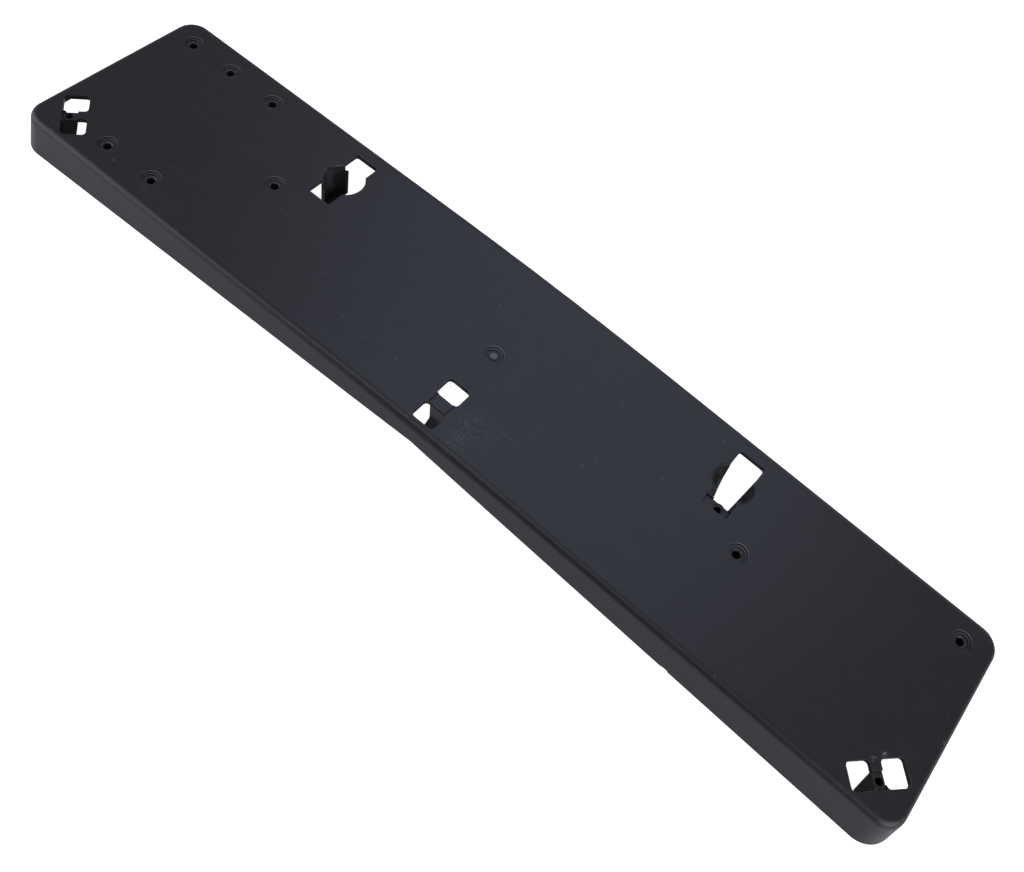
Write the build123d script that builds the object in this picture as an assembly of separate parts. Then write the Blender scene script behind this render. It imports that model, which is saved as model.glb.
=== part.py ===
from build123d import *
from math import asin, atan, copysign, cos, degrees, radians, sin, sqrt, tan
import os

# A number plate holder, moulded in one piece, lying face up on the four corners of its rim.
# Sizes are in millimetres, X runs along the holder, and Z is zero at the lowest rim.

# Number plate that the face carries
plate_length = 520.0
plate_width = 110.0
plate_corner = 10.0

# Face, bowed in the middle and straight towards both ends
bow_fall = 7.3
bow_half = 65.0
face_thickness = 2.6
edge_round = 3.9

# Side walls, deep at the ends and shallow in the middle
wall_thickness = 2.4
wall_flare = 12.55
end_depth = 26.9
middle_depth = 9.65

# Open gap in each end wall
end_gap_width = 74.0
end_strip = 8.4
end_gap_corner = 5.0

# Ribs behind the face
rib_thickness = 1.6
rib_setback = 2.5
cross_rib_steps = (70.0, 164.0, 200.0)

# Blind screw holes, each in a boss, set in from the ends and the long edges
screw_row_inset = 14.6
screw_corner_inset = 16.0
screw_outer_inset = 44.0
screw_inner_inset = 75.0
screw_middle_x = 143.0
screw_middle_y = 0.6
pilot_radius = 2.05
pilot_depth = 9.0
bevel_radius = 2.9
bevel_depth = 0.45
seat_radius = 5.0
seat_depth = 0.45
step_radius = 3.8
step_depth = 0.9
boss_wall = 2.25
boss_floor = 1.4

# Stub of the moulding gate, in a stepped seat like those of the screws
gate_pip_radius = 2.1
gate_pip_height = 0.5

# Keyhole slots, a straight slot with a round widening
slot_x = 122.9
slot_width = 14.0
slot_low_y = 10.5
slot_high_y = 46.3
slot_corner = 1.1
round_radius = 9.8
plain_round_radius = 11.0
round_y = 28.8

# Locating pocket behind the outer half of the left slot's widening
collar_wall = 1.4
collar_lip = 5.6
collar_depth = 20.0
collar_floor = 1.4
collar_mouth_round = 1.8

# Guide tray behind the right slot, with sloping sides and a gap through its floor
tray_shelf = 2.2
tray_depth = 5.5
tray_floor = 1.2
tray_wall = 1.4
tray_slope = 45.0
tray_shoulder_y = 23.2
tray_inset_left = 1.9
tray_inset_right = 0.8
tray_end_y = 40.0
tray_mouth_round = 1.5
tray_gap_low = 8.3
tray_gap_shift = 1.25
tray_gap_taper_end = 39.0

# Ledge at the low end of the tray, with its blind hole
ledge_depth = 3.0
ledge_edge_y = 16.9
ledge_hole_shift = 1.5
ledge_hole_y = 13.95
ledge_hole_radius = 1.9
ledge_hole_depth = 7.0
ledge_ring_radius = 2.9
ledge_ring_depth = 0.35
ledge_boss_wall = 1.5

# Windows in pairs, each pair with a bridge between its windows
window_width = 12.4
window_far = 13.7
window_corner = 2.0
middle_pair_inset = 17.7
middle_bridge_half = 3.05
middle_bridge_reach = 5.0
middle_bridge_drop = 0.4
corner_pair_inset = 18.5
corner_pair_rise = 16.4
corner_pair_turn = 45.0
corner_bridge_half = 2.5
corner_well_depth = 1.1
corner_well_start = -1.5
corner_hole_place = 2.65
corner_hole_radius = 1.9
corner_hole_depth = 9.0

# Webs that hang under the bridges, each with one slanted free edge
middle_web_start = -4.1
middle_web_waist = -2.75
middle_web_waist_depth = 12.0
middle_web_foot = -4.2
middle_web_drop = 19.6
middle_web_reach = 6.6
corner_web_start = -1.8
corner_web_foot = 2.9
corner_web_drop = 18.0
corner_web_reach = 9.0

# Small nick in the lower rim
nick_x = 148.5
nick_length = 3.4
nick_rise = 0.5

# Values worked out from the sizes above
slope = bow_fall / (plate_length / 2 - bow_half / 2)
tilt = atan(slope)
bow_radius = bow_half / sin(tilt)
flare = tan(radians(wall_flare))
top = end_depth
straight_top = top - bow_radius * (1 - cos(tilt))
straight_reach = (plate_length / 2 - bow_half) / cos(tilt)
rim_rise = end_depth - middle_depth
reach = plate_length
boss_radius = pilot_radius + boss_wall
screw_row_y = plate_width / 2 - screw_row_inset
middle_pair_y = middle_pair_inset - plate_width / 2
corner_pair_x = plate_length / 2 - corner_pair_inset
corner_pair_y = corner_pair_rise - plate_width / 2


# Height of the face at a place along the holder
def face_height(x):
    if abs(x) <= bow_half:
        return top - bow_radius + sqrt(bow_radius**2 - x**2)
    return straight_top - slope * (abs(x) - bow_half)


# Plane on the face with its Z along the face's own upright
def face_plane(x, y=0.0):
    lean = copysign(asin(min(abs(x), bow_half) / bow_radius), x)
    return Plane(origin=(x, y, face_height(x)), x_dir=(cos(lean), 0, -sin(lean)), z_dir=(sin(lean), 0, cos(lean)))


# One straight end of the flared block, from the bow to the end wall
def block_end(inset, sink, depth):
    spread = depth * flare
    plane = face_plane(bow_half).offset(-sink - depth)
    outline = RectangleRounded(
        plate_length - 2 * inset + 2 * spread,
        plate_width - 2 * inset + 2 * spread,
        plate_corner - inset + spread,
    )
    middle_x = straight_reach - plate_length / 2
    block = extrude(plane * Pos(middle_x, 0) * outline, amount=depth, taper=wall_flare)
    cutter = plane * Pos(-reach, 0, depth / 2) * Box(2 * reach, 2 * reach, 2 * reach)
    return block - cutter


# The bowed middle of the flared block
def block_middle(inset, sink, depth):
    half = plate_width / 2 - inset
    foot = half + depth * flare
    high = top - sink
    low = high - depth
    profile = make_face(Plane.YZ * Polyline((-half, high), (half, high), (foot, low), (-foot, low), close=True))
    axis = Axis((0, 0, top - bow_radius), (0, 1, 0))
    turn = degrees(tilt)
    return revolve(profile.rotate(axis, -turn), axis, 2 * turn)


# Block with flared sides under the bowed face, set in from the outer form
def flared_block(inset, sink, depth):
    right = block_end(inset, sink, depth)
    block = block_middle(inset, sink, depth) + right + mirror(right, about=Plane.YZ)
    return block.clean()


# Block with a rounded edge all round its upper face
def rounded_block(depth):
    block = flared_block(0, 0, depth)
    side_y = plate_width / 2 - plate_corner
    side_x = plate_length / 2 - plate_corner
    upper = block.faces().filter_by(lambda f: f.normal_at().Z > 0.9).edges()
    outer = [e for e in upper if abs(e.center().Y) > side_y or abs(e.center().X) > side_x]
    return fillet(outer, edge_round)


# Everything under the rim, which rises from both ends to the middle
def below_rim(raise_by):
    far = plate_length
    ends = plate_length / 2
    low = raise_by
    high = raise_by + rim_rise
    points = [(-far, -far), (-far, low), (-ends, low), (0, high), (ends, low), (far, low), (far, -far)]
    profile = make_face(Plane.XZ * Polyline(*points, close=True))
    return extrude(profile, amount=plate_width, both=True)


# Ribs across and along the inside, cut back from the rim
def ribs(inside):
    tall = 4 * end_depth
    grid = Box(2 * plate_length, rib_thickness, tall)
    for step in cross_rib_steps:
        for x in (-step, step):
            grid += Pos(x, 0, 0) * Box(rib_thickness, 2 * plate_width, tall)
    return (grid & inside) - below_rim(rib_setback)


# Places of the blind screw holes
def screw_places():
    corner_x = plate_length / 2 - screw_corner_inset
    outer_x = plate_length / 2 - screw_outer_inset
    inner_x = plate_length / 2 - screw_inner_inset
    upper = [(-corner_x, screw_row_y), (-outer_x, screw_row_y), (-inner_x, screw_row_y), (corner_x, screw_row_y)]
    lower = [(-outer_x, -screw_row_y), (-inner_x, -screw_row_y)]
    middle = [(-screw_middle_x, screw_middle_y), (screw_middle_x, screw_middle_y)]
    return upper + lower + middle


# Prism cut straight down from the face over a stretch of depth
def sunk(shape, upper, lower):
    return Pos(0, 0, -lower) * extrude(shape, amount=lower - upper)


# Boss that hangs under one screw hole
def screw_boss(x, y):
    return face_plane(x, y) * sunk(Circle(boss_radius), face_thickness / 2, pilot_depth + boss_floor)


# Stepped round seat at a screw hole or at the gate
def stepped_seat():
    return sunk(Circle(seat_radius), -1, seat_depth) + sunk(Circle(step_radius), -1, step_depth)


# Seat, bevel and blind pilot of one screw hole
def screw_cut(x, y):
    bevel = Pos(0, 0, -step_depth - bevel_depth) * Cone(
        pilot_radius,
        bevel_radius,
        bevel_depth,
        align=(Align.CENTER, Align.CENTER, Align.MIN),
    )
    return face_plane(x, y) * (stepped_seat() + bevel + sunk(Circle(pilot_radius), 0, pilot_depth))


# Seat of the gate in the middle of the face, round its own stub
def gate_cut():
    stub = sunk(Circle(gate_pip_radius), step_depth - gate_pip_height, 2 * step_depth)
    return face_plane(0) * (stepped_seat() - stub)


# Keyhole outline on the face, with its centre line at the plane's own zero
def keyhole(left_radius, right_radius):
    slot_height = slot_high_y - slot_low_y
    slot_middle = (slot_high_y + slot_low_y) / 2
    slot = Pos(0, slot_middle) * RectangleRounded(slot_width, slot_height, slot_corner)
    left = Circle(left_radius) & (Pos(-reach / 2, 0) * Rectangle(reach, reach))
    right = Circle(right_radius) & (Pos(reach / 2, 0) * Rectangle(reach, reach))
    return slot + Pos(0, round_y) * (left + right)


# Rounded mouth over the part of a round hole that lies outside the slot
def round_mouth(rounding, side):
    outer = round_radius + rounding
    within = round_radius - rounding / 4
    arc = CenterArc((outer, -rounding), rounding, 90, 90)
    lines = Polyline((outer, 0), (outer, 1), (within, 1), (within, -rounding), (round_radius, -rounding))
    ring = revolve(make_face(Plane.XZ * (lines + arc)), Axis.Z)
    keep = Pos(side * (slot_width / 2 + reach / 2), 0, 0) * Box(reach, reach, reach)
    return Pos(0, round_y) * (ring & keep)


# Pocket round the outer half of the left slot's widening, open towards the slot
def collar():
    wall = Circle(round_radius + collar_wall) - Circle(round_radius)
    keep = Pos(-collar_lip - reach / 2, 0) * Rectangle(reach, reach)
    sides = sunk(wall & keep, face_thickness / 2, collar_depth + collar_floor)
    base = sunk(Circle(round_radius + collar_wall) & keep, collar_depth, collar_depth + collar_floor)
    return face_plane(-slot_x) * Pos(0, round_y) * (sides + base)


# Everything of a sketch on one side of a level across the slot
def trimmed(shape, level, side):
    return shape & (Pos(0, level + side * reach / 2) * Rectangle(reach, reach))


# Tray block behind the right slot, up to its open end
def tray():
    outline = offset(keyhole(round_radius, round_radius), amount=tray_wall, kind=Kind.INTERSECTION)
    return face_plane(slot_x) * sunk(trimmed(outline, tray_end_y, -1), face_thickness / 2, tray_depth + tray_floor)


# Upper rim of the tray's sloping sides
def tray_rim():
    half = slot_width / 2
    line = Polyline(
        (-half, slot_high_y),
        (half, slot_high_y),
        (half, tray_shoulder_y),
        (half - tray_inset_right, ledge_edge_y),
        (tray_inset_left - half, ledge_edge_y),
        (-half, tray_shoulder_y),
        close=True,
    )
    return make_face(line) + Pos(0, round_y) * Circle(round_radius)


# Tapered gap through the floor of the tray
def tray_gap():
    half = slot_width / 2
    line = Polyline(
        (-half, slot_high_y - slot_corner),
        (half, slot_high_y - slot_corner),
        (half, tray_gap_taper_end),
        (tray_gap_shift + tray_gap_low / 2, ledge_edge_y),
        (tray_gap_shift - tray_gap_low / 2, ledge_edge_y),
        (-half, tray_gap_taper_end),
        close=True,
    )
    return make_face(line)


# Hollow of the tray, its ledge and the gap through its floor
def tray_cut():
    outline = keyhole(round_radius, round_radius)
    through = sunk(trimmed(outline, tray_end_y, 1), -1, 2 * face_thickness)
    shelf = sunk(outline, -1, tray_shelf)
    slopes = Pos(0, 0, -tray_shelf) * extrude(tray_rim(), tray_depth - tray_shelf, dir=(0, 0, -1), taper=tray_slope)
    ledge = sunk(trimmed(outline, ledge_edge_y, -1), 0, ledge_depth)
    gap = sunk(tray_gap(), 0, tray_depth + 2 * tray_floor)
    mouths = round_mouth(tray_mouth_round, -1) + round_mouth(tray_mouth_round, 1)
    return face_plane(slot_x) * (through + shelf + slopes + ledge + gap + mouths)


# Boss that hangs under the ledge's hole
def ledge_boss():
    outline = Pos(ledge_hole_shift, ledge_hole_y) * Circle(ledge_hole_radius + ledge_boss_wall)
    return face_plane(slot_x) * sunk(outline, ledge_depth, ledge_depth + ledge_hole_depth + tray_floor)


# Blind hole in the ledge, with a shallow ring round it
def ledge_cut():
    hole = sunk(Circle(ledge_hole_radius), 0, ledge_depth + ledge_hole_depth)
    ring = sunk(Circle(ledge_ring_radius), 0, ledge_depth + ledge_ring_depth)
    return face_plane(slot_x) * Pos(ledge_hole_shift, ledge_hole_y) * (hole + ring)


# Left keyhole through the face, rounded on its outer side
def left_slot_cut():
    cut = sunk(keyhole(round_radius, plain_round_radius), -1, 2 * face_thickness)
    return face_plane(-slot_x) * (cut + round_mouth(collar_mouth_round, -1))


# Both windows of a pair
def window_cut(bridge_half):
    height = window_far - bridge_half
    middle = (window_far + bridge_half) / 2
    window = RectangleRounded(window_width, height, window_corner)
    pair = Pos(0, middle) * window + Pos(0, -middle) * window
    return sunk(pair, -1, 2 * face_thickness)


# Plane of a pair, turned about the face's own upright
def pair_plane(x, y, turn):
    return face_plane(x, y) * Rot(0, 0, -turn)


# Web under a bridge, as its side view pushed through the bridge's width
def web(free_edge, drop, web_reach, bridge_half):
    edge = [(place, -depth) for place, depth in free_edge]
    profile = make_face(Plane.XZ * Polyline(*edge, (web_reach, -drop), (web_reach, -1), close=True))
    return extrude(profile, amount=bridge_half, both=True)


# Web of the middle pair, waisted halfway down
def middle_web():
    edge = (
        (middle_web_start, 1),
        (middle_web_waist, middle_web_waist_depth),
        (middle_web_foot, middle_web_drop),
    )
    return web(edge, middle_web_drop, middle_web_reach, middle_bridge_half)


# Web of a corner pair
def corner_web():
    edge = ((corner_web_start, 1), (corner_web_foot, corner_web_drop))
    return web(edge, corner_web_drop, corner_web_reach, corner_bridge_half)


# Recessed well and blind hole in a corner pair's bridge
def corner_well():
    length = window_width / 2 - corner_well_start
    middle = corner_well_start + length / 2
    well = Pos(middle, 0) * Rectangle(length, 2 * corner_bridge_half)
    hole = Pos(corner_hole_place, 0) * Circle(corner_hole_radius)
    return sunk(well, -1, corner_well_depth) + sunk(hole, 0, corner_hole_depth)


# Open gap in both end walls, between the corner feet
def end_gap():
    high = face_height(plate_length / 2) - end_strip
    outline = Pos(0, high - end_depth) * RectangleRounded(end_gap_width, 2 * end_depth, end_gap_corner)
    bar = extrude(Plane.YZ * outline, amount=plate_length, both=True)
    keep_inside = Box(2 * (plate_length / 2 - plate_corner), 2 * plate_width, 4 * end_depth)
    return bar - keep_inside


# Small nick in the lower long rim
def rim_nick():
    rim = rim_rise * (1 - nick_x / (plate_length / 2))
    return Pos(nick_x, -plate_width / 2, rim) * Box(nick_length, plate_corner, 2 * nick_rise)


# The whole holder
def make_holder():
    depth = 1.2 * end_depth
    outer = rounded_block(depth)
    inset = wall_thickness / cos(radians(wall_flare)) - face_thickness * flare
    inside = flared_block(inset, face_thickness, depth)
    right_plane = pair_plane(corner_pair_x, corner_pair_y, corner_pair_turn)
    middle_plane = pair_plane(0, middle_pair_y, 0)
    corner_webs = right_plane * corner_web()
    corner_cuts = right_plane * (window_cut(corner_bridge_half) + corner_well())
    middle_drop = sunk(Rectangle(2 * middle_bridge_reach, 2 * middle_bridge_half), -1, middle_bridge_drop)

    holder = outer - inside - below_rim(0)
    holder += ribs(inside)
    for x, y in screw_places():
        holder += screw_boss(x, y)
    holder += tray()
    holder += collar()
    holder += corner_webs
    holder += mirror(corner_webs, about=Plane.YZ)
    holder += middle_plane * middle_web()

    for x, y in screw_places():
        holder -= screw_cut(x, y)
    holder -= left_slot_cut()
    holder -= tray_cut()
    holder += ledge_boss()
    holder -= ledge_cut()
    holder -= corner_cuts
    holder -= mirror(corner_cuts, about=Plane.YZ)
    holder -= middle_plane * (window_cut(middle_bridge_half) + middle_drop)
    holder -= gate_cut()
    holder -= end_gap()
    holder -= rim_nick()
    return holder.clean()


os.makedirs("parts", exist_ok=True)
plate_holder = make_holder()
plate_holder.label = "plate_holder"
plate_holder.color = Color(0.055, 0.057, 0.062)
export_step(plate_holder, "parts/plate_holder.step")
print("plate_holder", len(plate_holder.solids()), "solids, volume", round(plate_holder.volume), "mm3")
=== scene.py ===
import math

import bmesh
import bpy
from mathutils import Matrix, Vector


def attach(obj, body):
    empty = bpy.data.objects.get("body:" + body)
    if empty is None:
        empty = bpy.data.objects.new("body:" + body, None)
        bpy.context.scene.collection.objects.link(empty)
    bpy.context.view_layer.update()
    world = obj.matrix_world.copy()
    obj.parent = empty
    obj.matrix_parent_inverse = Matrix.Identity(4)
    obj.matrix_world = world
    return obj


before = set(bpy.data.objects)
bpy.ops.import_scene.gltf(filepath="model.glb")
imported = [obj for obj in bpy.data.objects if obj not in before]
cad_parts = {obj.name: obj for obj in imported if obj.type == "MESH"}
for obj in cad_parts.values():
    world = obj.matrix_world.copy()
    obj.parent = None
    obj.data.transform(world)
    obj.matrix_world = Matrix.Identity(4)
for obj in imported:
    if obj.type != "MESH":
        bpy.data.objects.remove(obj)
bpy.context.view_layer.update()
print("frame loaded")


def inMetres(millimetres):
    return millimetres / 1000.0


# how many of a small size fit in a metre, which is the scale of a texture
def perMetre(millimetres):
    return 1000.0 / millimetres


def addObject(name, data):
    thing = bpy.data.objects.new(name, data)
    bpy.context.scene.collection.objects.link(thing)
    return thing


# empty node tree of a material or world
def emptyTree(owner):
    owner.use_nodes = True
    owner.node_tree.nodes.clear()
    return owner.node_tree


def addNode(tree, kind, **settings):
    node = tree.nodes.new(kind)
    for key, value in settings.items():
        setattr(node, key, value)
    return node


# a socket takes what another node gives, or a plain value
def feed(tree, socket, value):
    if isinstance(value, bpy.types.NodeSocket):
        tree.links.new(value, socket)
    else:
        socket.default_value = value


# works through its values from the left: the first with the second, that with the third, and so on
def mathNode(tree, operation, first, *others, clamp=False):
    for other in others:
        node = addNode(tree, "ShaderNodeMath", operation=operation, use_clamp=clamp)
        feed(tree, node.inputs[0], first)
        feed(tree, node.inputs[1], other)
        first = node.outputs[0]
    return first


def absolute(tree, value):
    node = addNode(tree, "ShaderNodeMath", operation="ABSOLUTE")
    feed(tree, node.inputs[0], value)
    return node.outputs[0]


def opposite(tree, mask):
    return mathNode(tree, "SUBTRACT", 1.0, mask)


def vectorNode(tree, operation, *values):
    node = addNode(tree, "ShaderNodeVectorMath", operation=operation)
    for socket, value in zip(node.inputs, values):
        feed(tree, socket, value)
    return node.outputs["Value" if operation in ("DISTANCE", "LENGTH", "DOT_PRODUCT") else "Vector"]


def splitVector(tree, vector):
    node = addNode(tree, "ShaderNodeSeparateXYZ")
    tree.links.new(vector, node.inputs[0])
    return node.outputs


# eases a value from one range into another
def mapRange(tree, value, low, high, toLow=0.0, toHigh=1.0):
    node = addNode(tree, "ShaderNodeMapRange", interpolation_type="SMOOTHSTEP", clamp=True)
    names = ("Value", "From Min", "From Max", "To Min", "To Max")
    for name, entry in zip(names, (value, low, high, toLow, toHigh)):
        feed(tree, node.inputs[name], entry)
    return node.outputs["Result"]


def mixColors(tree, factor, first, second):
    node = addNode(tree, "ShaderNodeMix", data_type="RGBA")
    tree.links.new(factor, node.inputs["Factor"])
    for name, value in (("A", first), ("B", second)):
        socket = [s for s in node.inputs if s.name == name and s.type == "RGBA"][0]
        feed(tree, socket, (*value, 1.0) if isinstance(value, tuple) else value)
    return [s for s in node.outputs if s.type == "RGBA"][0]


# lays a colour over another where all the masks say so
def layOver(tree, under, over, *masks):
    return mixColors(tree, mathNode(tree, "MULTIPLY", *masks), under, over)


def noise(tree, vector, size, detail, roughness=0.5):
    node = addNode(tree, "ShaderNodeTexNoise")
    settings = {"Vector": vector, "Scale": perMetre(size), "Detail": detail, "Roughness": roughness}
    for name, value in settings.items():
        feed(tree, node.inputs[name], value)
    return node.outputs["Fac"]


# noise that fades in between two of its values
def patches(tree, vector, fade, **look):
    return mapRange(tree, noise(tree, vector, **look), *fade)


# 1 round a place and 0 beyond its reach, fading from the soft share of the reach outwards
def nearPlace(tree, vector, x, y, z, reach, soft):
    distance = vectorNode(tree, "DISTANCE", vector, (inMetres(x), inMetres(y), inMetres(z)))
    return mapRange(tree, distance, inMetres(reach * soft), inMetres(reach), 1.0, 0.0)


# drops the height, so that distances are measured on the face's plan
def seenFromAbove(tree, vector):
    return vectorNode(tree, "MULTIPLY", vector, (1.0, 1.0, 0.0))


# the same for a spot on the face, at any height
def nearSpot(tree, vector, x, y, reach, soft):
    return nearPlace(tree, seenFromAbove(tree, vector), x, y, 0.0, reach, soft)


# worn black plastic of the holder, with painted shade and painted highlights: places and sizes in millimetres,
# colours linear, and each fade the two values between which a feature sets in
plastic = {
    "darkColor": (0.0098, 0.0099, 0.0106),
    "hazeColor": (0.0128, 0.0130, 0.0146),
    "haze": {"size": 90.0, "detail": 2.0, "fade": (0.35, 0.65)},
    "hazeShare": 0.6,
    "mottle": {"size": 9.0, "detail": 4.0, "roughness": 0.6, "fade": (0.3, 0.7)},
    "mottleShare": 0.3,
    "roughness": (0.35, 0.39),
    "specular": 0.50,
    "grain": {"size": 0.7, "detail": 2.0},
    "grainHeight": 0.030,
    "edgeRadius": 0.12,
    "edgeSamples": 4,
    # painted shade in tight corners, from ambient occlusion
    "creaseShading": {"reach": 1.1, "samples": 6, "fade": (0.92, 0.55), "color": (0.002, 0.002, 0.002),
                "dulling": 0.45},
    # deep shade: foot of the middle web, inside of the collar, tops of the dished sides
    "shadySpots": [
        {"x": 0.8, "y": -40.4, "z": 8.5, "reach": 12.0, "soft": 0.5},
        {"x": -129.6, "y": 36.2, "z": 14.0, "reach": 8.0, "soft": 0.5},
        {"x": -129.6, "y": 36.2, "z": 6.0, "reach": 8.0, "soft": 0.5},
        {"x": 117.5, "y": 35.5, "z": 19.5, "reach": 6.5, "soft": 0.5},
        {"x": 130.6, "y": 34.5, "z": 19.0, "reach": 4.0, "soft": 0.5},
    ],
    # painted shade along the steps round the middle bridge, which lies a little below the face: endFade and
    # sideFade are shares of their breadth, bottomFade and topFade are heights
    "bridgeStepShade": {"reach": 5.0, "y": -37.3, "halfWidth": 3.05, "breadth": 0.28,
                    "endFade": (1.6, 0.6), "sideFade": (0.9, 0.4),
                    "bottomFade": (24.7, 25.0), "topFade": (26.4, 26.3)},
    # painted highlight on the upper side of outward edges, partly rubbed wear, in patches whose fade ends with
    # the least and the most wear
    "edgeWearAndHighlight": {"reach": 0.65, "bend": (0.985, 0.85), "upward": (0.5, 0.8),
                  "color": (0.11, 0.11, 0.12), "strength": 0.85},
    "edgePatches": {"size": 3.0, "detail": 3.0, "fade": (0.42, 0.62, 0.25, 1.0)},
    # painted highlight on the rims of the stepped round seats, wider on their far side; farTurn turns that side
    # with the seat's place along the holder
    "seatRimHighlights": {"places": [(-244.0, 40.4), (-216.0, 40.4), (-185.0, 40.4), (-216.0, -40.4), (-185.0, -40.4),
                            (-143.0, 0.6), (143.0, 0.6), (244.0, 40.4), (0.0, 0.0)],
                 "radii": (5.0, 3.8), "outerFade": (-0.02, 0.10), "innerFade": (0.0, -0.12),
                 "farSide": (-0.18, 0.95), "farTurn": 0.0011, "widening": 0.12, "strength": 0.80},
    # fine rubbed lines, a few degrees off the holder's length
    "rubbedLines": {"turn": 6.0, "stretch": 0.035, "color": (0.040, 0.040, 0.045), "strength": 0.5},
    "fineLines": {"size": 0.9, "detail": 2.0, "fade": (0.66, 0.76)},
    "linePatches": {"size": 38.0, "detail": 2.0, "fade": (0.48, 0.66)},
    # pale specks in square cells: share of the cells that hold one, and the faintest beside the brightest
    "dust": {"spacing": 6.5, "radius": 0.30, "core": 0.4, "share": 0.85, "faintest": 0.25,
             "color": (0.30, 0.30, 0.31), "strength": 0.8, "dulling": 0.3},
    # worn patches on the face
    "scuffs": [
        {"x": 18.4, "y": -38.0, "reach": 15.0, "grain": 1.6, "strength": 0.10},
        {"x": 17.4, "y": -48.0, "reach": 8.0, "grain": 1.2, "strength": 0.12},
        {"x": 239.6, "y": -29.5, "reach": 2.2, "grain": 0.8, "strength": 0.90},
        {"x": 236.2, "y": -34.7, "reach": 1.6, "grain": 0.8, "strength": 0.70},
        {"x": 258.4, "y": -6.5, "reach": 1.4, "grain": 0.6, "strength": 0.90},
        {"x": -206.3, "y": -45.1, "reach": 1.6, "grain": 0.7, "strength": 0.60},
        {"x": -242.5, "y": -38.5, "reach": 1.2, "grain": 0.6, "strength": 0.90},
    ],
    "scuffSoft": 0.1,
    "scuffGrains": {"detail": 4.0, "roughness": 0.7, "fade": (0.48, 0.64)},
    # rubbed top of the gate's stub in the middle of the face
    "gateStub": {"x": 0.0, "y": 0.0, "reach": 1.9, "soft": 0.8},
    "stubColor": (0.085, 0.085, 0.09),
    # shallow sink mark behind a thick spot
    "sinkMark": {"x": 188.8, "y": 38.7, "reach": 4.6, "soft": 0.2},
    "sinkDepth": 0.06,
}


# normal of the surface as if its edges were rounded
def roundedNormal(tree, radius):
    bevel = addNode(tree, "ShaderNodeBevel", samples=plastic["edgeSamples"])
    feed(tree, bevel.inputs["Radius"], inMetres(radius))
    return bevel.outputs["Normal"]


# 1 in tight corners, where shade is painted, and 0 on open surface
def creaseShadeMask(tree):
    look = plastic["creaseShading"]
    shade = addNode(tree, "ShaderNodeAmbientOcclusion", samples=look["samples"])
    feed(tree, shade.inputs["Distance"], inMetres(look["reach"]))
    return mapRange(tree, shade.outputs["AO"], *look["fade"])


# 1 along the two ends of the middle bridge and under its near edge, where the shade of its steps is painted
def bridgeStepShadeMask(tree, vector):
    look = plastic["bridgeStepShade"]
    breadth = inMetres(look["breadth"])
    half = inMetres(look["halfWidth"])
    reach = inMetres(look["reach"])
    x, y, z = splitVector(tree, vector)
    across = absolute(tree, x)
    along = mathNode(tree, "ADD", y, -inMetres(look["y"]))
    endGap = absolute(tree, mathNode(tree, "SUBTRACT", across, reach))
    ends = mathNode(
        tree, "MULTIPLY",
        mapRange(tree, endGap, *(breadth * share for share in look["endFade"])),
        mapRange(tree, absolute(tree, along), half + breadth, half),
    )
    sideGap = absolute(tree, mathNode(tree, "ADD", along, half))
    nearSide = mathNode(
        tree, "MULTIPLY",
        mapRange(tree, sideGap, *(breadth * share for share in look["sideFade"])),
        mapRange(tree, across, reach + breadth, reach),
        mapRange(tree, z, *map(inMetres, look["bottomFade"])),
        mapRange(tree, z, *map(inMetres, look["topFade"])),
    )
    return mathNode(tree, "MAXIMUM", ends, nearSide)


# 1 where shade is painted: creases, the steps round the middle bridge and deep shade
def paintedShadeMask(tree, vector, creaseShade):
    spots = [nearPlace(tree, vector, **spot) for spot in plastic["shadySpots"]]
    return mathNode(tree, "MAXIMUM", creaseShade, bridgeStepShadeMask(tree, vector), *spots)


# 1 on the upper side of outward edges, where the rounded normal leaves the true one, away from the painted
# shade: a painted highlight, partly wear
def edgeWearAndHighlightMask(tree, vector, paintedShade):
    look = plastic["edgeWearAndHighlight"]
    normal = addNode(tree, "ShaderNodeNewGeometry").outputs["Normal"]
    product = vectorNode(tree, "DOT_PRODUCT", roundedNormal(tree, look["reach"]), normal)
    bent = mapRange(tree, product, *look["bend"])
    upward = mapRange(tree, splitVector(tree, normal)["Z"], *look["upward"])
    worn = patches(tree, vector, **plastic["edgePatches"])
    return mathNode(tree, "MULTIPLY", bent, upward, opposite(tree, paintedShade), worn)


# painted highlight crescents on the far rims of the seats, from the distance to the nearest seat
def seatRimHighlightMask(tree, vector):
    look = plastic["seatRimHighlights"]
    flat = seenFromAbove(tree, vector)
    lengths = []
    leanings = []
    for x, y in look["places"]:
        offset = vectorNode(tree, "SUBTRACT", flat, (inMetres(x), inMetres(y), 0.0))
        sideways, away = look["farSide"]
        farSide = Vector((look["farTurn"] * x + sideways, away, 0.0)).normalized()
        lengths.append(vectorNode(tree, "LENGTH", offset))
        lean = vectorNode(tree, "DOT_PRODUCT", offset, farSide * look["widening"])
        leanings.append(mathNode(tree, "SUBTRACT", lengths[-1], lean))
    nearest = mathNode(tree, "MINIMUM", *lengths)
    leaning = mathNode(tree, "MINIMUM", *leanings)
    rims = []
    for radius in look["radii"]:
        outside = mapRange(tree, nearest, *(inMetres(radius + step) for step in look["outerFade"]))
        inside = mapRange(tree, leaning, *(inMetres(radius + step) for step in look["innerFade"]))
        rims.append(mathNode(tree, "MULTIPLY", outside, inside))
    return mathNode(tree, "ADD", *rims, clamp=True)


def rubbedLineMask(tree, vector):
    look = plastic["rubbedLines"]
    stretched = addNode(tree, "ShaderNodeMapping")
    feed(tree, stretched.inputs["Vector"], vector)
    feed(tree, stretched.inputs["Rotation"], (0.0, 0.0, math.radians(look["turn"])))
    feed(tree, stretched.inputs["Scale"], (look["stretch"], 1.0, 1.0))
    lines = patches(tree, stretched.outputs["Vector"], **plastic["fineLines"])
    return mathNode(tree, "MULTIPLY", lines, patches(tree, vector, **plastic["linePatches"]))


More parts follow.
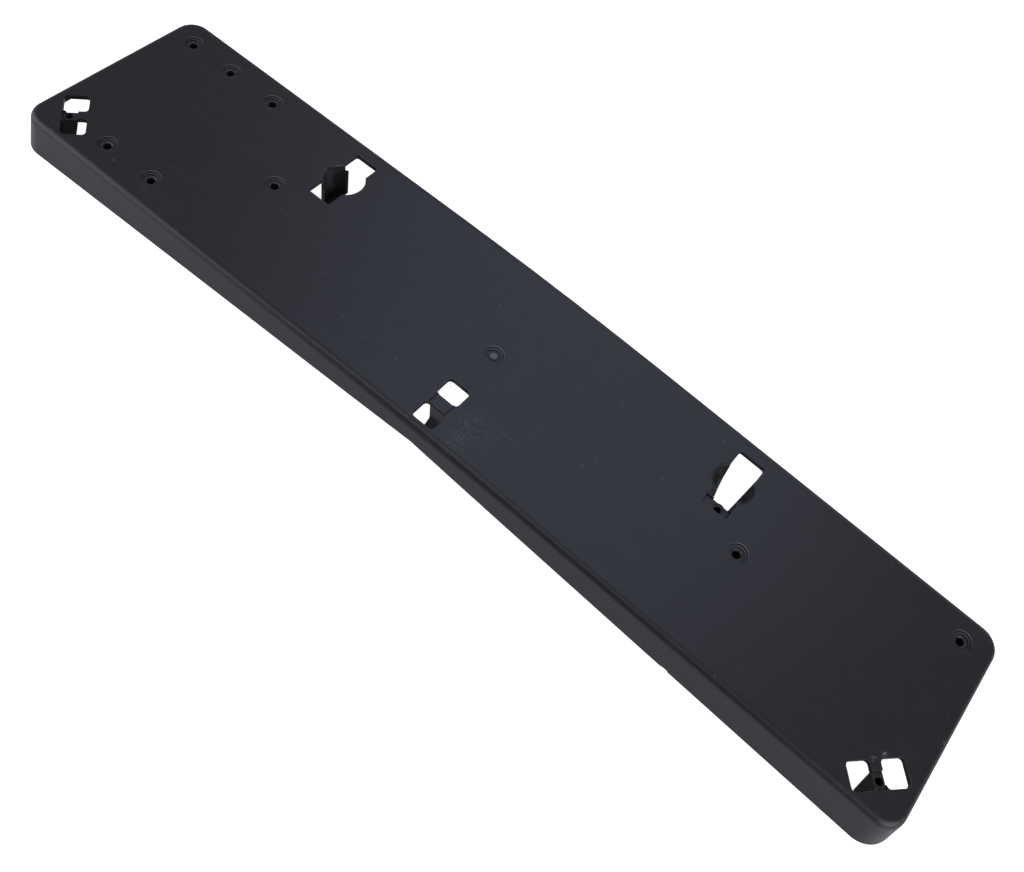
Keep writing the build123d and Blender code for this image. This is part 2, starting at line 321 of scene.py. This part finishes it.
def dustMask(tree, vector):
    look = plastic["dust"]
    cells = addNode(tree, "ShaderNodeTexVoronoi", feature="F1")
    feed(tree, cells.inputs["Vector"], vector)
    feed(tree, cells.inputs["Scale"], perMetre(look["spacing"]))
    radius = look["radius"] / look["spacing"]
    spot = mapRange(tree, cells.outputs["Distance"], radius * look["core"], radius, 1.0, 0.0)
    draws = addNode(tree, "ShaderNodeSeparateColor")
    tree.links.new(cells.outputs["Color"], draws.inputs[0])
    chosen = mathNode(tree, "LESS_THAN", draws.outputs[0], look["share"])
    bright = mapRange(tree, draws.outputs[1], 0.0, 1.0, look["faintest"], 1.0)
    return mathNode(tree, "MULTIPLY", spot, chosen, bright)


def layScuffs(tree, vector, color):
    for scuff in plastic["scuffs"]:
        near = nearSpot(tree, vector, scuff["x"], scuff["y"], scuff["reach"], plastic["scuffSoft"])
        grains = patches(tree, vector, size=scuff["grain"], **plastic["scuffGrains"])
        color = layOver(tree, color, plastic["dust"]["color"], near, grains, scuff["strength"])
    return color


# moulded grain and the sink mark, as height in metres
def surfaceNormal(tree, vector):
    grains = noise(tree, vector, **plastic["grain"])
    grain = mathNode(tree, "MULTIPLY", grains, inMetres(plastic["grainHeight"]))
    sink = nearSpot(tree, vector, **plastic["sinkMark"])
    sunk = mathNode(tree, "MULTIPLY", sink, inMetres(plastic["sinkDepth"]))
    bump = addNode(tree, "ShaderNodeBump")
    feed(tree, bump.inputs["Strength"], 1.0)
    feed(tree, bump.inputs["Distance"], 1.0)
    feed(tree, bump.inputs["Height"], mathNode(tree, "SUBTRACT", grain, sunk))
    feed(tree, bump.inputs["Normal"], roundedNormal(tree, plastic["edgeRadius"]))
    return bump.outputs["Normal"]


def plasticMaterial():
    creaseShading, edges, rims = plastic["creaseShading"], plastic["edgeWearAndHighlight"], plastic["seatRimHighlights"]
    lines, dust = plastic["rubbedLines"], plastic["dust"]
    material = bpy.data.materials.new("blackPlasticWornAndPaintedLight")
    tree = emptyTree(material)
    out = addNode(tree, "ShaderNodeOutputMaterial")
    shader = addNode(tree, "ShaderNodeBsdfPrincipled")
    tree.links.new(shader.outputs[0], out.inputs["Surface"])
    shader.inputs["Specular IOR Level"].default_value = plastic["specular"]
    place = addNode(tree, "ShaderNodeTexCoord").outputs["Object"]

    haze = patches(tree, place, **plastic["haze"])
    mottle = patches(tree, place, **plastic["mottle"])
    clouds = mathNode(tree, "ADD", mathNode(tree, "MULTIPLY", haze, plastic["hazeShare"]),
                      mathNode(tree, "MULTIPLY", mottle, plastic["mottleShare"]))
    creaseShade = creaseShadeMask(tree)
    paintedShade = paintedShadeMask(tree, place, creaseShade)
    specks = dustMask(tree, place)

    # colour, from the plain plastic up
    color = mixColors(tree, clouds, plastic["darkColor"], plastic["hazeColor"])
    # painted shade in creases, along the bridge's steps and in deep shade
    color = layOver(tree, color, creaseShading["color"], paintedShade)
    # painted highlight along the upper side of outward edges, partly wear
    color = layOver(tree, color, edges["color"], edgeWearAndHighlightMask(tree, place, paintedShade), edges["strength"])
    # painted highlight on the far rims of the seats
    color = layOver(tree, color, edges["color"],
                    seatRimHighlightMask(tree, place), opposite(tree, creaseShade), rims["strength"])
    color = layOver(tree, color, lines["color"], rubbedLineMask(tree, place), lines["strength"])
    color = layOver(tree, color, dust["color"], specks, dust["strength"])
    color = layScuffs(tree, place, color)
    color = layOver(tree, color, plastic["stubColor"], nearSpot(tree, place, **plastic["gateStub"]))
    tree.links.new(color, shader.inputs["Base Color"])

    # painted shade and dust are duller than the plastic
    rough = mathNode(tree, "ADD", mapRange(tree, mottle, 0.0, 1.0, *plastic["roughness"]),
                     mathNode(tree, "MULTIPLY", paintedShade, creaseShading["dulling"]),
                     mathNode(tree, "MULTIPLY", specks, dust["dulling"]), clamp=True)
    tree.links.new(rough, shader.inputs["Roughness"])
    tree.links.new(surfaceNormal(tree, place), shader.inputs["Normal"])
    return material


def dressHolder(material):
    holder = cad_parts["plate_holder"]
    for slot in holder.material_slots:
        slot.material = material


# foot of the web under the middle bridge, seen through the lower window, in millimetres
webFoot = {
    "left": -4.2,
    "right": 6.6,
    "slant": 0.19,
    "high": 7.8,
    "low": 4.6,
    "y": -37.3,
    "halfWidth": 3.03,
    "edge": 0.3,
    "edgeSteps": 3,
}


# it runs on below the bridge's own web, with its lower edges rounded
def makeWebFoot(material):
    high, low = webFoot["high"], webFoot["low"]
    lean = (high - low) * webFoot["slant"]
    outline = [
        (webFoot["left"], high),
        (webFoot["right"], high),
        (webFoot["right"], low),
        (webFoot["left"] - lean, low),
    ]
    mesh = bpy.data.meshes.new("webFoot")
    build = bmesh.new()
    sides = []
    for side in (-1, 1):
        y = webFoot["y"] + side * webFoot["halfWidth"]
        sides.append([build.verts.new((inMetres(x), inMetres(y), inMetres(z))) for x, z in outline])
    nearSide, farSide = sides
    build.faces.new(reversed(nearSide))
    build.faces.new(farSide)
    for index in range(len(outline)):
        after = (index + 1) % len(outline)
        build.faces.new((nearSide[index], nearSide[after], farSide[after], farSide[index]))
    bmesh.ops.recalc_face_normals(build, faces=build.faces)
    middle = inMetres((high + low) / 2)
    lowEdges = [edge for edge in build.edges if all(vert.co.z < middle for vert in edge.verts)]
    bmesh.ops.bevel(build, geom=lowEdges, offset=inMetres(webFoot["edge"]), segments=webFoot["edgeSteps"],
                    affect="EDGES", profile=0.5)  # 0.5 is a round edge
    build.to_mesh(mesh)
    build.free()
    foot = addObject("webFoot", mesh)
    mesh.materials.append(material)
    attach(foot, "root")


def mixShaders(tree, factor, first, second):
    node = addNode(tree, "ShaderNodeMixShader")
    for socket, value in zip(node.inputs, (factor, first, second)):
        tree.links.new(value, socket)
    return node.outputs[0]


# rays that see the background as it is: the camera's own, and those through something clear
def clearRays(tree, path):
    return mathNode(tree, "MAXIMUM", path["Is Camera Ray"], path["Is Transmission Ray"])


# white paper that the holder lies on: size in metres, and the share of its glow that reflections see
floor = {"size": 8.0, "color": (0.91, 0.91, 0.94), "glow": 0.96, "glossShare": 0.10}


# clips to white for the camera, and keeps the holder's shadow
def makeFloor():
    half = floor["size"] / 2
    mesh = bpy.data.meshes.new("paperSweep")
    corners = [(-half, -half, 0), (half, -half, 0), (half, half, 0), (-half, half, 0)]
    mesh.from_pydata(corners, [], [(0, 1, 2, 3)])
    sheet = addObject("paperSweep", mesh)
    material = bpy.data.materials.new("whitePaper")
    tree = emptyTree(material)
    out = addNode(tree, "ShaderNodeOutputMaterial")
    paper = addNode(tree, "ShaderNodeBsdfDiffuse")
    paper.inputs["Color"].default_value = (*floor["color"], 1.0)
    glow = addNode(tree, "ShaderNodeEmission")
    glow.inputs["Strength"].default_value = floor["glow"]
    noGlow = addNode(tree, "ShaderNodeEmission")
    noGlow.inputs["Strength"].default_value = 0.0
    path = addNode(tree, "ShaderNodeLightPath").outputs
    mirrored = mathNode(tree, "MULTIPLY", path["Is Glossy Ray"], floor["glossShare"])
    share = mathNode(tree, "MAXIMUM", clearRays(tree, path), mirrored)
    both = addNode(tree, "ShaderNodeAddShader")
    tree.links.new(paper.outputs[0], both.inputs[0])
    tree.links.new(mixShaders(tree, share, noGlow.outputs[0], glow.outputs[0]), both.inputs[1])
    tree.links.new(both.outputs[0], out.inputs["Surface"])
    mesh.materials.append(material)


# dome of soft grey light, darker towards the photographer, and soft boxes: directions as seen from the holder,
# distances and sizes in metres, along the direction of a box's long side
studio = {
    "domeColor": (0.98, 0.98, 1.00),
    "domeStrength": 0.24,
    "darkStrength": 0.10,
    "darkSide": (0.05, -0.95, 0.30),
    "darkFade": (0.35, 0.85),
    "boxes": [
        {"name": "overheadBox", "aim": (-0.15, 0.50, 0.86), "along": (1.0, 0.0, 0.0), "distance": 1.7,
         "size": (1.5, 1.2), "color": (0.62, 0.69, 1.00), "power": 5.7},
        {"name": "leftStrip", "aim": (-0.38, -0.40, 0.83), "along": (-0.62, -0.50, -0.52), "distance": 1.5,
         "size": (1.3, 0.28), "color": (0.96, 0.94, 1.00), "power": 2.2},
        {"name": "nearStrip", "aim": (0.04, -0.40, 0.91), "along": (1.0, 0.0, 0.0), "distance": 1.7,
         "size": (0.9, 0.45), "color": (0.76, 0.80, 1.00), "power": 1.6},
        {"name": "leftKey", "aim": (-0.84, -0.46, 0.26), "along": (0.48, -0.88, 0.0), "distance": 1.6,
         "size": (1.4, 1.2), "color": (0.96, 0.955, 1.00), "power": 9.2},
        {"name": "rightKey", "aim": (0.84, -0.34, 0.42), "along": (0.38, 0.93, 0.0), "distance": 1.6,
         "size": (1.4, 1.2), "color": (0.96, 0.955, 1.00), "power": 13.0},
        {"name": "backSweep", "aim": (0.10, 0.93, 0.36), "along": (1.0, 0.0, 0.0), "distance": 1.8,
         "size": (1.6, 0.6), "color": (1.00, 1.00, 1.00), "power": 1.5},
    ],
}


# white to the camera, the dome to everything else
def makeWorld():
    world = bpy.data.worlds.new("studioDome")
    bpy.context.scene.world = world
    tree = emptyTree(world)
    out = addNode(tree, "ShaderNodeOutputWorld")
    direction = addNode(tree, "ShaderNodeTexCoord").outputs["Generated"]
    towards = vectorNode(tree, "DOT_PRODUCT", direction, studio["darkSide"])
    strength = mapRange(tree, towards, *studio["darkFade"], studio["domeStrength"], studio["darkStrength"])
    dome = addNode(tree, "ShaderNodeBackground")
    dome.inputs["Color"].default_value = (*studio["domeColor"], 1.0)
    tree.links.new(strength, dome.inputs["Strength"])
    white = addNode(tree, "ShaderNodeBackground")
    white.inputs["Color"].default_value = (1.0, 1.0, 1.0, 1.0)
    path = addNode(tree, "ShaderNodeLightPath").outputs
    shown = mixShaders(tree, clearRays(tree, path), dome.outputs[0], white.outputs[0])
    tree.links.new(shown, out.inputs["Surface"])


def makeLights():
    for box in studio["boxes"]:
        data = bpy.data.lights.new(box["name"], "AREA")
        data.shape = "RECTANGLE"
        data.size, data.size_y = box["size"]
        data.color = box["color"]
        data.energy = box["power"]
        lamp = addObject(box["name"], data)
        aim = Vector(box["aim"]).normalized()
        across = aim.cross(Vector(box["along"])).normalized()
        turn = Matrix((across.cross(aim), across, aim)).transposed().to_4x4()
        lamp.matrix_world = Matrix.Translation(aim * box["distance"]) @ turn


# camera of the photo, found from the outline of the plate face: place in metres, sensor in millimetres
camera = {
    "place": (0.11851, -0.25037, 0.41778),
    "right": (0.76287, 0.61892, 0.18700),
    "up": (-0.61930, 0.61641, 0.48632),
    "focalPixels": 1022.16,
    "imageWidth": 1024,
    "sensor": 36.0,
    "clip": (0.01, 50.0),
}


def makeCamera():
    data = bpy.data.cameras.new("photoCamera")
    data.sensor_fit = "HORIZONTAL"
    data.sensor_width = camera["sensor"]
    data.lens = camera["sensor"] * camera["focalPixels"] / camera["imageWidth"]
    data.clip_start, data.clip_end = camera["clip"]
    eye = addObject("photoCamera", data)
    right = Vector(camera["right"]).normalized()
    back = right.cross(Vector(camera["up"])).normalized()
    up = back.cross(right)
    turn = Matrix((right, up, back)).transposed().to_4x4()
    eye.matrix_world = Matrix.Translation(camera["place"]) @ turn
    bpy.context.scene.camera = eye


blackPlastic = plasticMaterial()
print("plastic mixed")
dressHolder(blackPlastic)
makeWebFoot(blackPlastic)
print("holder dressed")
makeFloor()
makeWorld()
makeLights()
print("studio lit")
makeCamera()
print("camera placed")
bpy.context.scene.view_settings.view_transform = "Standard"
